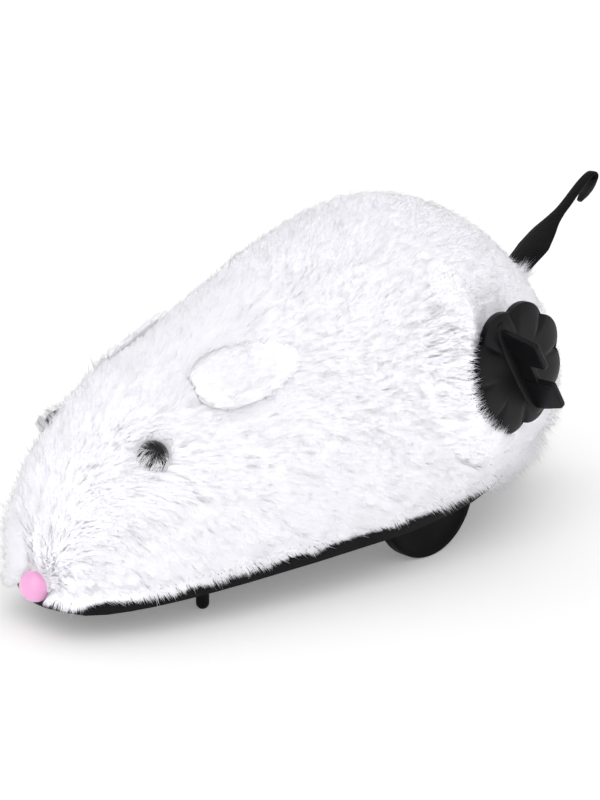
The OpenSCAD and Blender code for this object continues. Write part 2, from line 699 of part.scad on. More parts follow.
base();
body_shell();
plush_cover();
ear_left();
ear_right();
eye_left();
eye_right();
nose_bead();
tail_strip();
winding_key();
winding_arbor();
great_gear();
ratchet_wheel();
click();
click_stud();
mainspring();
intermediate_gear();
intermediate_pin();
axle_pinion();
rear_axle();
wheel_left();
wheel_right();
motor_plate_left();
motor_plate_right();
motor_pillars();
motor_screws();
base_screws();
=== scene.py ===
"""Looks of the clockwork mouse: plush, felt, beads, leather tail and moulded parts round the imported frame.

Lengths in this script are millimetres unless it says otherwise, and MM turns them into metres. +Z is up, the
nose points along -Y, and +X is the mouse's left flank, where the winding key is.
"""

import math

import bmesh
import bpy
import numpy as np
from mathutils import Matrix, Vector, kdtree


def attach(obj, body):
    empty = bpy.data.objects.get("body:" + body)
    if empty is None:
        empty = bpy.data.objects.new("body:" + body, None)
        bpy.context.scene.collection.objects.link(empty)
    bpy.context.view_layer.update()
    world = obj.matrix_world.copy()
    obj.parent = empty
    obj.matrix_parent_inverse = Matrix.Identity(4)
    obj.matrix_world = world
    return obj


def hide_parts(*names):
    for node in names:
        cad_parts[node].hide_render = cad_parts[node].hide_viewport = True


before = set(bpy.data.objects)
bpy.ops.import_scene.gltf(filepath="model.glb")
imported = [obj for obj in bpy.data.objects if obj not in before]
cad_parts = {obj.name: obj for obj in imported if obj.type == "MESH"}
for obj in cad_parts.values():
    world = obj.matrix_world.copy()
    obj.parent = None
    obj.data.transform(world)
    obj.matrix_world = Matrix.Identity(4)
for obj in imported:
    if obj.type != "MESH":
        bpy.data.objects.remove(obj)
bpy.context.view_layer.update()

MM = 0.001
SEED = 11

# ---- the body surface, as the CAD shell and plush have it ----
BODY_LENGTH = 102.5
BODY_WIDTH = 47.4
BODY_TOP = 49.6
BODY_MID_Y = -7.0
BASE_TILT = math.radians(4.6)
BASE_NOSE = (-57.05, 3.3)       # y and z of the base's underside at its nose end
BASE_THICK = 2.4
SKIRT = 2.5                     # height of the plush's lower edge over the base's underside
# shares of half the width and of the height, one sweep step apart from the snout to the rump
HALF_WIDTHS = (0, 0.31, 0.49, 0.63, 0.75, 0.86, 0.955, 1, 0.87, 0.62, 0.37, 0.17, 0)
TOPS = (0.26, 0.35, 0.505, 0.635, 0.725, 0.83, 0.945, 1, 0.92, 0.76, 0.58, 0.43, 0.36)
SWEEP_STEP = 15
WAIST = 0.36                    # share of a section's height at which it is widest
ROUND = 1.06                    # 1 would make the upper part of a section an ellipse
TUCK = 0.06                     # how far a section draws in at its lower edge
REAR_TUCK = 0.4                 # and how much further under the rump
END = 3                         # sweep angle at which the plush ends, from either end of the body

KEY_AXIS = (7.0, 28.3)          # y and z
KEY_FACE_X = 26.2
KEY_RADIUS = 9.3
KEY_THICK = 2.0
AXLE_Z = 9.1
EYE = np.array((9.7, -45.1, 23.2))
EYE_OUT = np.array((0.72, -0.25, 0.65))
EYE_RADIUS = 2.1
EAR = np.array((9.2, -37.6, 30.3))      # where the ear leaves the plush
NOSE = np.array((0.0, -56.9, 6.2))
NOSE_BACK = np.array((0.0, 0.94, 0.34))
NOSE_RADIUS = 2.175
TAIL_ROOT = np.array((0.0, 33.5, 32.3))
TAIL_SLOPE = (0.79, 0.61)       # along y and z, where the tail leaves the plush


def unit(v):
    v = np.asarray(v, float)
    return v / np.maximum(np.linalg.norm(v, axis=-1, keepdims=True), 1e-9)


def between(p0, p1, p2, p3, t):
    """Catmull-Rom curve from p1 to p2, for t from 0 to 1."""
    cubic = 3 * (p1 - p2) + p3 - p0
    return p1 + t / 2 * (p2 - p0 + t * (2 * p0 - 5 * p1 + 4 * p2 - p3 + t * cubic))


def eased(values, sweep):
    """Smooth value between entries that are one sweep step apart."""
    values = np.asarray(values, float)
    last = len(values) - 1
    k = sweep / SWEEP_STEP
    i = np.clip(np.floor(k).astype(int), 0, last - 1)
    before, after = values[np.maximum(i - 1, 0)], values[np.minimum(i + 2, last)]
    return between(before, values[i], values[i + 1], after, k - i)


def signed_power(values, power):
    return np.sign(values) * np.abs(values) ** power


def tuck(sweep):
    """How far a section draws in at its lower edge, as a share of its half width."""
    return TUCK + REAR_TUCK * np.clip((sweep - 88) / 75, 0, 1)


def base_z(y):
    """Height of the base's tilted underside."""
    return BASE_NOSE[1] + (y - BASE_NOSE[0]) * math.tan(BASE_TILT)


def drawn_in(length, inset):
    """A length less about the inset, which never falls to zero."""
    return length * length / (length + inset)


def body_point(sweep, girth, inset):
    """Points of the body surface, at an inset under the ends of the pile. sweep runs from 0 at the snout to
    180 at the rump, and girth from 0 at the key side's lower edge over 180 on the back to 360."""
    y = BODY_MID_Y - (BODY_LENGTH / 2 - inset) * np.cos(np.radians(sweep))
    side = np.maximum(drawn_in(BODY_WIDTH / 2 * eased(HALF_WIDTHS, sweep), inset), 0.2)
    low = base_z(y) + SKIRT
    high = low + drawn_in(BODY_TOP * eased(TOPS, sweep) - low, inset)
    waist = low + WAIST * (high - low)
    b = np.radians(np.where(girth <= 180, girth, 360 - girth) - 90)
    up = np.maximum(np.sin(b), 0)
    wide = np.where(b >= 0, np.maximum(np.cos(b), 0) ** ROUND, 1 - tuck(sweep) * np.sin(b) ** 4)
    z = np.where(b >= 0, waist + (high - waist) * up ** ROUND, waist + (waist - low) * np.sin(b))
    x = side * wide * np.where(girth <= 180, 1, -1)
    return np.stack([x, y + 0 * b, z], -1)


def body_normal(sweep, girth, inset):
    step = 0.5
    along = body_point(sweep + step, girth, inset) - body_point(sweep - step, girth, inset)
    over = body_point(sweep, girth + step, inset) - body_point(sweep, girth - step, inset)
    return unit(np.cross(along, over))


# ---- meshes ----
def place_piece(name, mesh, body, material):
    """A mesh as a piece of the scene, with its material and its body."""
    piece = bpy.data.objects.new(name, mesh)
    bpy.context.scene.collection.objects.link(piece)
    mesh.materials.append(material)
    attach(piece, body)
    return piece


def mesh_object(name, points, faces, body, slot, material):
    """A smooth-shaded piece from points in millimetres."""
    mesh = bpy.data.meshes.new(name)
    mesh.from_pydata((np.asarray(points, float) * MM).tolist(), [], [list(map(int, f)) for f in faces])
    mesh.update()
    mesh.shade_smooth()
    return place_piece(name, mesh, body, material)


def store_values(mesh, name, values):
    """Keeps one value for each point of a mesh, for its material to read."""
    mesh.attributes.new(name, "FLOAT", "POINT").data.foreach_set("value", values.astype(np.float32))


def grid_faces(rows, columns, closed=False):
    """Quads between neighbouring rows of points. closed joins each row's end to its start."""
    faces = []
    for i in range(rows - 1):
        for k in range(columns if closed else columns - 1):
            n = (k + 1) % columns
            faces.append((i * columns + k, i * columns + n, (i + 1) * columns + n, (i + 1) * columns + k))
    return faces


def tube_faces(rows, columns):
    """Quads of a closed tube, with a face over each of its ends."""
    last = (rows - 1) * columns
    ends = [tuple(range(columns)), tuple(range(last, last + columns))]
    return grid_faces(rows, columns, closed=True) + ends


def axes_along(direction, guide):
    """Two unit vectors across a direction, the first as near to guide as it can be."""
    d = unit(direction)
    first = unit(np.asarray(guide, float) - np.dot(guide, d) * d)
    return first, np.cross(d, first)


def lathe(profile, centre, axis, guide, steps=64):
    """Closed surface of revolution. profile lists (distance along the axis, radius) from end to end."""
    first, second = axes_along(axis, guide)
    d = unit(axis)
    points = []
    for height, radius in profile:
        for k in range(steps):
            turn = 2 * math.pi * k / steps
            points.append(centre + d * height + radius * (first * math.cos(turn) + second * math.sin(turn)))
    return points, tube_faces(len(profile), steps)


def arc(centre, radius, start, stop, steps):
    """Points (along, radius) on an arc of a profile, with angles in degrees from the outward radius."""
    turns = np.radians(np.linspace(start, stop, steps))
    return [(centre[0] + radius * math.sin(t), centre[1] + radius * math.cos(t)) for t in turns]


def bevel_edges(piece, width, sharp, harden):
    """Rounds over a piece's edges whose angle is over sharp degrees, and writes that into its mesh."""
    modifier = piece.modifiers.new("bevel", "BEVEL")
    modifier.width = width * MM
    modifier.segments = 3
    modifier.limit_method = "ANGLE"
    modifier.angle_limit = math.radians(sharp)
    modifier.harden_normals = harden
    depsgraph = bpy.context.evaluated_depsgraph_get()
    mesh = bpy.data.meshes.new_from_object(piece.evaluated_get(depsgraph))
    piece.modifiers.clear()
    piece.data = mesh


def solid_piece(name, replaced, *contents):
    """A closed mesh_object whose faces all look outward, in place of a CAD node if one is given."""
    piece = mesh_object(name, *contents)
    bm = bmesh.new()
    bm.from_mesh(piece.data)
    bmesh.ops.recalc_face_normals(bm, faces=bm.faces)
    bm.to_mesh(piece.data)
    bm.free()
    if replaced:
        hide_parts(replaced)
    return piece


# ---- materials ----
SCATTER_DEPTH = 2.2


class Nodes:
    """Short forms for building one node material."""

    def __init__(self, name):
        self.material = bpy.data.materials.new(name)
        self.material.use_nodes = True
        self.tree = self.material.node_tree
        self.shader = self.tree.nodes["Principled BSDF"]

    def add(self, kind, **settings):
        node = self.tree.nodes.new(kind)
        for key, value in settings.items():
            if key in node.inputs:
                node.inputs[key].default_value = value
            else:
                setattr(node, key, value)
        return node

    def link(self, source, target):
        self.tree.links.new(source, target)

    def coordinates(self, scale=(1, 1, 1)):
        place = self.add("ShaderNodeTexCoord")
        mapping = self.add("ShaderNodeMapping", Scale=scale)
        self.link(place.outputs["Object"], mapping.inputs["Vector"])
        return mapping.outputs["Vector"]

    def noise(self, scale, detail, stretch=(1, 1, 1)):
        node = self.add("ShaderNodeTexNoise", Scale=scale, Detail=detail)
        self.link(self.coordinates(stretch), node.inputs["Vector"])
        return node.outputs["Fac"]

    def ramp(self, source, *stops):
        """Colour between two stops, which are (position, colour)."""
        node = self.add("ShaderNodeValToRGB")
        for element, (position, colour) in zip(node.color_ramp.elements, stops):
            element.position = position
            element.color = (*colour, 1)
        self.link(source, node.inputs["Fac"])
        return node.outputs["Color"]

    def spread(self, source, low, high):
        """Maps 0..1 to low..high."""
        node = self.add("ShaderNodeMapRange")
        node.inputs["To Min"].default_value = low
        node.inputs["To Max"].default_value = high
        self.link(source, node.inputs["Value"])
        return node.outputs["Result"]

    def bump(self, source, distance):
        """Relief of a depth in millimetres."""
        node = self.add("ShaderNodeBump", Distance=distance * MM)
        self.link(source, node.inputs["Height"])
        self.link(node.outputs["Normal"], self.shader.inputs["Normal"])

    def colour(self, source, dark, light, low=0.3, high=0.7):
        self.link(self.ramp(source, (low, dark), (high, light)), self.shader.inputs["Base Color"])

    def roughness(self, source, low, high):
        self.link(self.spread(source, low, high), self.shader.inputs["Roughness"])

    def scatter(self, weight):
        """Light that spreads inside cloth or pile."""
        self.shader.subsurface_method = "BURLEY"
        self.shader.inputs["Subsurface Weight"].default_value = weight
        self.shader.inputs["Subsurface Radius"].default_value = (1, 1, 1)
        self.shader.inputs["Subsurface Scale"].default_value = SCATTER_DEPTH * MM

    def set(self, **values):
        names = {
            "metallic": "Metallic", "specular": "Specular IOR Level", "coat": "Coat Weight",
            "coat_rough": "Coat Roughness", "sheen": "Sheen Weight", "sheen_rough": "Sheen Roughness",
        }
        for key, value in values.items():
            self.shader.inputs[names[key]].default_value = value


def moulded(name, dark, light, rough, grain, specular=0.5):
    """Moulded plastic: faint mottling, uneven gloss and a fine spark texture. grain is its depth in mm."""
    n = Nodes(name)
    n.colour(n.noise(160, 5), dark, light)
    n.roughness(n.noise(420, 3), rough - 0.07, rough + 0.08)
    n.bump(n.noise(3200, 2), grain)
    n.set(specular=specular)
    return n.material


def turned_metal(name, dark, light, rough, stretch):
    """Bare metal with brushed or turned lines: stretch is small along the lines."""
    n = Nodes(name)
    lines = n.noise(900, 3, stretch)
    n.colour(lines, dark, light, 0.25, 0.75)
    n.roughness(n.noise(300, 4), rough - 0.08, rough + 0.12)
    n.bump(lines, 0.01)
    n.set(metallic=1.0)
    return n.material


def bead(name, dark, light, rough, specular, coat):
    """Polished bead: faint swirls under a clear coat."""
    n = Nodes(name)
    n.colour(n.noise(350, 3), dark, light)
    n.roughness(n.noise(700, 2), rough - 0.04, rough + 0.06)
    n.bump(n.noise(240, 2), 0.012)
    n.set(specular=specular, coat=coat, coat_rough=0.12)
    return n.material


def leather(name):
    """Black imitation leather: pebble grain, creases, and a paler, glossier folded end."""
    n = Nodes(name)
    cells = n.add("ShaderNodeTexVoronoi", Scale=2600)
    n.link(n.coordinates(), cells.inputs["Vector"])
    folds = n.noise(700, 5, (1, 0.35, 1))
    fold = n.add("ShaderNodeAttribute", attribute_name="fold")
    blend = n.add("ShaderNodeMix", data_type="RGBA")
    n.link(fold.outputs["Fac"], blend.inputs[0])
    n.link(n.ramp(folds, (0.3, (0.002, 0.002, 0.003)), (0.75, (0.006, 0.006, 0.007))), blend.inputs[6])
    n.link(n.ramp(folds, (0.3, (0.012, 0.012, 0.013)), (0.75, (0.04, 0.04, 0.042))), blend.inputs[7])
    n.link(blend.outputs[2], n.shader.inputs["Base Color"])
    n.roughness(folds, 0.4, 0.62)
    mix = n.add("ShaderNodeMath", operation="ADD")
    n.link(cells.outputs["Distance"], mix.inputs[0])
    n.link(folds, mix.inputs[1])
    n.bump(mix.outputs["Value"], 0.06)
    n.set(specular=0.1)
    return n.material


def pile_yarn(name, root, tip, shade):
    """Pile yarn: darker towards its root as painted shade deep in the pile, with strand to strand and patch
    to patch variation.
    """
    n = Nodes(name)
    along = n.add("ShaderNodeAttribute", attribute_name="along")
    tone = n.add("ShaderNodeAttribute", attribute_name="tone")
    patches = n.noise(90, 3, (1, 0.45, 1))
    mixed = n.add("ShaderNodeMath", operation="MULTIPLY_ADD")
    mixed.inputs[1].default_value = 0.45
    n.link(patches, mixed.inputs[0])
    n.link(tone.outputs["Fac"], mixed.inputs[2])
    tips = n.ramp(mixed.outputs["Value"], (0.1, shade), (0.75, tip))
    blend = n.add("ShaderNodeMix", data_type="RGBA")
    n.link(along.outputs["Fac"], blend.inputs[0])
    # the root colour is painted shade: strands darken towards the skin, where the pile shades itself
    blend.inputs[6].default_value = (*root, 1)
    n.link(tips, blend.inputs[7])
    n.link(blend.outputs[2], n.shader.inputs["Base Color"])
    n.roughness(tone.outputs["Fac"], 0.7, 0.95)
    n.bump(n.noise(5000, 2), 0.01)
    n.scatter(0.75)
    n.set(specular=0.1, sheen=0.1, sheen_rough=0.5)
    return n.material


def backing(name, dark, light, stretch, depth, scatter):
    """Knitted or felted cloth: fibres drawn out along the nap."""
    n = Nodes(name)
    fibres = n.noise(1400, 5, stretch)
    n.colour(fibres, dark, light)
    n.roughness(n.noise(300, 3), 0.8, 0.98)
    n.bump(fibres, depth)
    n.scatter(scatter)
    n.set(specular=0.15, sheen=0.3, sheen_rough=0.5)
    return n.material


BLACK_BASE = moulded("black_base", (0.003, 0.003, 0.004), (0.008, 0.008, 0.009), 0.5, 0.02, 0.12)
BLACK_KEY = moulded("black_key", (0.002, 0.002, 0.003), (0.006, 0.006, 0.007), 0.42, 0.014, 0.19)
BLACK_WHEEL = moulded("black_wheel", (0.002, 0.002, 0.003), (0.005, 0.005, 0.006), 0.5, 0.012, 0.07)
WHITE_SHELL = moulded("white_shell", (0.76, 0.76, 0.77), (0.86, 0.86, 0.87), 0.45, 0.02)
NYLON = moulded("natural_nylon", (0.78, 0.75, 0.66), (0.88, 0.86, 0.79), 0.4, 0.01)
STEEL = turned_metal("turned_steel", (0.42, 0.42, 0.43), (0.66, 0.66, 0.67), 0.3, (1, 0.05, 0.05))
ZINC = turned_metal("zinc_plate", (0.5, 0.51, 0.52), (0.7, 0.71, 0.72), 0.38, (1, 0.1, 1))
BLUED = turned_metal("blued_spring", (0.12, 0.14, 0.2), (0.27, 0.3, 0.38), 0.3, (0.05, 1, 1))
EYE_BLACK = bead("eye_black", (0.002, 0.002, 0.003), (0.005, 0.005, 0.006), 0.16, 0.25, 0.2)
NOSE_PINK = bead("nose_pink", (0.94, 0.4, 0.72), (0.97, 0.48, 0.79), 0.3, 0.5, 0.5)
TAIL_LEATHER = leather("tail_leather")
# the first colour, at the strands' roots, is painted shade for the depth of the pile
PILE = pile_yarn("plush_pile", (0.885, 0.88, 0.91), (0.92, 0.914, 0.945), (0.895, 0.89, 0.92))
PLUSH_BACKING = backing("plush_backing", (0.87, 0.866, 0.89), (0.9, 0.896, 0.92), (1, 0.25, 1), 0.03, 0.3)
FELT = backing("ear_felt", (0.93, 0.926, 0.95), (0.96, 0.956, 0.975), (1, 0.6, 1), 0.02, 0.12)

NODE_MATERIALS = {
    "base": BLACK_BASE, "body_shell": WHITE_SHELL, "winding_arbor": STEEL, "great_gear": NYLON,
    "ratchet_wheel": STEEL, "click": STEEL, "click_stud": STEEL, "mainspring": BLUED,
    "intermediate_gear": NYLON, "intermediate_pin": STEEL, "axle_pinion": NYLON, "rear_axle": STEEL,
    "motor_plate_left": ZINC, "motor_plate_right": ZINC, "motor_pillars": STEEL,
    "motor_screws": STEEL, "base_screws": STEEL,
}


def paint_cad_nodes():
    """Gives the CAD nodes that stay visible their materials."""
    for name, material in NODE_MATERIALS.items():
        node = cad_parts[name]
        if not node.material_slots:
            node.data.materials.append(None)
        for material_slot in node.material_slots:
            material_slot.link = "OBJECT"
            material_slot.material = material


# ---- plush ----
SKIN_INSET = 1.1            # depth of the backing cloth under the ends of the pile
SKIN_ENDS = ((0.6, 0.35), (0.02, 0.5))      # width and bulge of the rows that close the cloth's ends
HEM_ROWS = 3                # rows of the cloth's edge that is turned in
HEM_INWARD = 0.035
HEM_RISE = 0.25
PILE_COUNT = 198000
HEM_COUNT = 11000
END_COUNT = 400
TUFT_COUNT = 700
EYE_COUNT = 170
EAR_COUNT = 6500
FACE_DENSITY = 1.27         # strands to an area on the face, against the body
PILE_WIDTH = 0.13           # width of a strand at its root
PILE_RUN = 1.9              # how far a strand lies over along the nap
STRAND_POINTS = 3
STRAY = 0.16                # how far strands wander, as a share of their length
CLUMP_SIZE = 16             # strands drawn towards one another
KEY_OVERLAP = 2.3           # how far the longest strands in front of the key lie over its disc
BANK_WIDTH = 5.4            # width of the band of pile that rises towards the key
BANK_UNDER = 2.6            # how far under the disc that band begins
BANK_TURN = (104, 290)      # angles round the key between which it rises
BANK_EASE = 45              # angle over which it reaches its full height at either end
# (sweep, how far the hem's strands hang over the base's rim): over half of the rim in front, a little of it
# along the flank, and all of it behind the wheel
HEM_DROP = ((0, 0.8), (25, 0.9), (42, 1.1), (50, 0.6), (80, 0.5), (96, 0.7), (104, 1.7),
            (110, 2.8), (180, 2.9))


def plush_skin():
    """The backing cloth: one sheet over the shell, with its lower edge turned in above the base."""
    sweeps = np.concatenate([np.linspace(END, 12, 7), np.linspace(14, 166, 77),
                             np.linspace(168, 180 - END, 7)])
    girths = np.linspace(0, 360, 97)
    rows = []
    for sweep in sweeps:
        body = body_point(np.full_like(girths, sweep), girths, SKIN_INSET)
        hems = [[edge * (1 - HEM_INWARD * k, 1, 1) + (0, 0, HEM_RISE * k * k)
                 for k in range(1, HEM_ROWS + 1)] for edge in (body[0], body[-1])]
        rows.append(np.concatenate([hems[0][::-1], body, hems[1]]))
    front = [rows[0] * (share, 1, 1) - (0, bulge, 0) for share, bulge in SKIN_ENDS]
    rear = [rows[-1] * (share, 1, 1) + (0, bulge, 0) for share, bulge in SKIN_ENDS]
    rows = front[::-1] + rows + rear
    faces = grid_faces(len(rows), len(rows[0]))
    piece = mesh_object("plush_backing", np.concatenate(rows), faces, "chassis", "plush", PLUSH_BACKING)
    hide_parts("plush_cover")
    return piece


def sample_body(random, count):
    """Sweeps and girths of places all over the body, evenly spread but closer together on the face."""
    sweeps = np.linspace(END + 1, 180 - END - 1, 121)
    girths = np.linspace(0, 360, 181)
    a, g = np.meshgrid(sweeps, girths, indexing="ij")
    p = body_point(a, g, SKIN_INSET)
    du, dv = p[1:, :-1] - p[:-1, :-1], p[:-1, 1:] - p[:-1, :-1]
    area = np.linalg.norm(np.cross(du, dv), axis=-1).ravel()
    area = area * np.interp(a[:-1, :-1].ravel(), (30, 85), (FACE_DENSITY, 1.0))
    cells = random.choice(len(area), count, p=area / area.sum())
    i, k = np.divmod(cells, len(girths) - 1)
    sweep = sweeps[i] + random.random(count) * (sweeps[1] - sweeps[0])
    girth = girths[k] + random.random(count) * (girths[1] - girths[0])
    return sweep, girth


def wave(points, seed, size):
    """Smooth uneven value, mostly from -1 to 1, over space, from a few crossed sine waves."""
    random = np.random.default_rng(seed)
    value = np.zeros(len(points))
    for _ in range(5):
        direction = unit(random.normal(size=3))
        phase = points @ direction * 2 * math.pi / size * random.uniform(0.7, 1.4)
        value += np.sin(phase + random.uniform(0, 6.3))
    return value / 3


def nap_direction(points, normals, sweep, girth):
    """The lie of the pile: out from the nose, back over the body, down the flanks and up past the key."""
    flank = np.abs(np.where(girth <= 180, girth, 360 - girth) - 180) / 180
    down = 0.12 + 0.55 * flank
    back = np.stack([0 * down, np.ones_like(down), -down], -1)
    behind, above = points[:, 1] - KEY_AXIS[0], points[:, 2] - KEY_AXIS[1]
    past_key = np.exp(-((behind + 14) / 8) ** 2 - (above / 12) ** 2)
    back[:, 2] += 0.3 * past_key * (points[:, 0] > 0)
    snout = np.clip((26 - sweep) / 20, 0, 1)[:, None]
    back = back * (1 - snout) + unit(points - NOSE) * snout
    turn = 0.25 * wave(points, 3, 30) + 0.14 * wave(points, 4, 9)
    lie = unit(back - np.sum(back * normals, -1, keepdims=True) * normals)
    across = np.cross(normals, lie)
    return lie * np.cos(turn)[:, None] + across * np.sin(turn)[:, None]


def pile_height(sweep):
    """Height of the pile as a share of its usual height: fuller round the snout."""
    return np.interp(sweep, (10, 35), (1.25, 1.0))


def pull_into_clumps(random, paths, share):
    """Draws the outer part of each strand towards the nearest clump's leader."""
    count = len(paths)
    leaders = random.choice(count, max(count // CLUMP_SIZE, 1), replace=False)
    tree = kdtree.KDTree(len(leaders))
    for k, leader in enumerate(leaders):
        tree.insert(paths[leader, 0], k)
    tree.balance()
    nearest = np.array([leaders[tree.find(p)[1]] for p in paths[:, 0]])
    weight = (np.arange(paths.shape[1]) / (paths.shape[1] - 1)) ** 1.4
    return paths + (paths[nearest] - paths) * weight[None, :, None] * np.reshape(share, (-1, 1, 1))


def keep_clear_of_key(paths):
    """Lays strands that would run through the key's disc flat under it."""
    y, z = paths[..., 1] - KEY_AXIS[0], paths[..., 2] - KEY_AXIS[1]
    under = np.hypot(y, z) < KEY_RADIUS - 0.2
    limit = KEY_FACE_X - KEY_THICK - 0.35
    paths[..., 0] = np.where(under, np.minimum(paths[..., 0], limit), paths[..., 0])
    return paths


def clear_of_beads(random, paths):
    """True for strands that don't run over the nose or the middle of an eye. Some lie over an eye's edge."""
    keep = np.ones(len(paths), bool)
    reach = EYE_RADIUS * random.uniform(0.3, 0.95, len(paths))
    for side in (1, -1):
        eye = EYE * (side, 1, 1)
        out = unit(EYE_OUT * (side, 1, 1))
        for k in range(paths.shape[1]):
            offset = paths[:, k] - eye
            height = offset @ out
            radial = np.linalg.norm(offset - height[:, None] * out, axis=1)
            keep &= ~((radial < (0.9 * EYE_RADIUS if k == 0 else reach)) & (height > -2.5))
    for k in range(paths.shape[1]):
        offset = paths[:, k] - NOSE
        sideways = 0.75 * np.sign(paths[:, k, 0])
        out = unit(np.stack([sideways, np.full(len(paths), -0.8), 0 * reach + 0.12], -1))
        height = np.sum(offset * out, -1)
        radial = np.linalg.norm(offset - height[:, None] * out, axis=1)
        keep &= np.linalg.norm(offset, axis=1) > NOSE_RADIUS + 0.1
        keep &= ~((radial < NOSE_RADIUS - 0.15) & (height > 0))
    return keep


def strand_mesh(name, paths, normals, widths, twist, tone):
    """Flat tapered strands. paths holds each strand's points from its root to its tip."""
    count, steps = paths.shape[:2]
    tangent = unit(np.gradient(paths, axis=1))
    side = unit(np.cross(tangent, normals[:, None, :]))
    face = np.cross(side, tangent)
    side = side * np.cos(twist)[:, None, None] + face * np.sin(twist)[:, None, None]
    taper = 1 - (np.arange(steps) / (steps - 1)) ** 1.6
    half = side * (widths[:, None] * taper[None] / 2)[..., None]
    left, right = paths - half, paths + half
    points = np.stack([left[:, :-1], right[:, :-1]], 2).reshape(count, -1, 3)
    points = np.concatenate([points, paths[:, -1:]], 1)
    per = points.shape[1]
    faces = []
    for k in range(steps - 2):
        a = 2 * k
        faces += [(a, a + 1, a + 3), (a, a + 3, a + 2)]
    faces.append((per - 3, per - 2, per - 1))
    triangles = (np.array(faces)[None] + per * np.arange(count)[:, None, None]).reshape(-1, 3)
    mesh = bpy.data.meshes.new(name)
    mesh.vertices.add(count * per)
    mesh.vertices.foreach_set("co", (points * MM).astype(np.float32).ravel())
    mesh.loops.add(triangles.size)
    mesh.loops.foreach_set("vertex_index", triangles.astype(np.int32).ravel())
    mesh.polygons.add(len(triangles))
    mesh.polygons.foreach_set("loop_start", np.arange(0, triangles.size, 3, dtype=np.int32))
    mesh.update(calc_edges=True)
    mesh.polygons.foreach_set("use_smooth", np.ones(len(triangles), bool))
    level = np.concatenate([np.repeat(np.arange(steps - 1), 2), [steps - 1]]) / (steps - 1)
    store_values(mesh, "along", np.tile(level, count))
    store_values(mesh, "tone", np.repeat(tone, per))
    shaded = unit(normals[:, None, :] + 0.3 * np.concatenate(
        [np.repeat(face[:, :-1], 2, axis=1), face[:, -1:]], 1))
    mesh.normals_split_custom_set_from_vertices(shaded.reshape(-1, 3).tolist())
    return mesh


def strand_paths(random, roots, normals, lie, height, length):
    """Strands that rise from their roots and lie over along the nap."""
    t = np.linspace(0, 1, STRAND_POINTS)[None, :, None]
    rise = (1 - (1 - t) ** 1.7) * height[:, None, None]
    run = t ** 1.1 * length[:, None, None]
    stray = random.normal(scale=STRAY, size=(len(roots), 1, 3)) * t * length[:, None, None]
    return roots[:, None] + normals[:, None] * rise + lie[:, None] * run + stray


def looks_of(random, paths, narrow, wide, twist):
    """Widths, twists and tones of a group of strands."""
    count = len(paths)
    widths = PILE_WIDTH * random.uniform(narrow, wide, count)
    return widths, random.uniform(-twist, twist, count), random.random(count)


def without_beads(random, paths, normals, *looks):
    """A group of strands less the ones that run over a bead, with their looks."""
    keep = clear_of_beads(random, paths)
    paths = paths[keep]
    return (paths, normals[keep], *looks_of(random, paths, *looks))


def bank_up_to_key(random, paths, roots, normals):
    """Raises the strands in front of the key and under it, until their ends lie over the disc's edge."""
    y, z = roots[:, 1] - KEY_AXIS[0], roots[:, 2] - KEY_AXIS[1]
    away = np.hypot(y, z) - KEY_RADIUS
    turn = np.degrees(np.arctan2(z, y)) % 360               # from the rear towards the top and the front
    first, last = BANK_TURN
    banked = (roots[:, 0] > 0) & (away > -BANK_UNDER) & (away < BANK_WIDTH) & (turn > first) & (turn < last)
    away, turn, root, normal = away[banked], turn[banked], roots[banked], normals[banked]
    count = len(away)
    strength = np.interp(turn, (first, first + BANK_EASE, last - BANK_EASE, last), (0, 1, 1, 0))
    face_height = KEY_FACE_X - root[:, 0] + random.uniform(-0.2, 0.4, count)
    height = face_height * (1 - (np.maximum(away, 0) / BANK_WIDTH) ** 2) * strength
    room = KEY_FACE_X - KEY_THICK - 0.15 - root[:, 0]
    height = np.where(away < 0, np.minimum(height, room * random.uniform(0.7, 1, count)), height)
    height = np.maximum(height, SKIN_INSET * 0.85)[:, None]
    inward = -np.stack([0 * y, y, z], -1)[banked] / np.hypot(y, z)[banked, None]
    nap = np.array((0, 0.5, -0.25)) + random.normal(scale=0.35, size=(count, 3)) * (0, 1, 1)
    over = KEY_OVERLAP * strength * random.random(count) * (away > 0)
    run = (0.3 + np.clip(away, 0, 1.4) + over)[:, None]
    lie = unit(inward + nap)
    paths[banked] = np.stack([root, root + normal * height + lie * run * 0.15,
                              root + normal * height * 0.94 + lie * run], 1)
    return paths


def coat_strands():
    """The pile of the whole body."""
    random = np.random.default_rng(SEED)
    sweep, girth = sample_body(random, PILE_COUNT)
    roots = body_point(sweep, girth, SKIN_INSET)
    normals = body_normal(sweep, girth, SKIN_INSET)
    lie = nap_direction(roots, normals, sweep, girth)
    share = pile_height(sweep) * random.uniform(0.76, 1.06, PILE_COUNT)
    share *= 1 + 0.05 * wave(roots, 5, 7)
    for side in (1, -1):
        share *= 1 + 0.9 * np.exp(-(np.linalg.norm(roots - EAR * (side, 1, 1), axis=1) / 3.5) ** 2)
    run = PILE_RUN * share * (1 - 0.5 * np.clip((sweep - 135) / 35, 0, 1))
    upright = np.where(random.random(PILE_COUNT) < 0.08, 1.5, 0.87)
    paths = strand_paths(random, roots, normals, lie, SKIN_INSET * share * upright, run)
    paths = pull_into_clumps(random, paths, np.interp(sweep, (30, 80), (0.1, 0.24)))
    paths = keep_clear_of_key(paths)
    paths = bank_up_to_key(random, paths, roots, normals)
    return without_beads(random, paths, normals, 0.7, 1.3, 0.35)


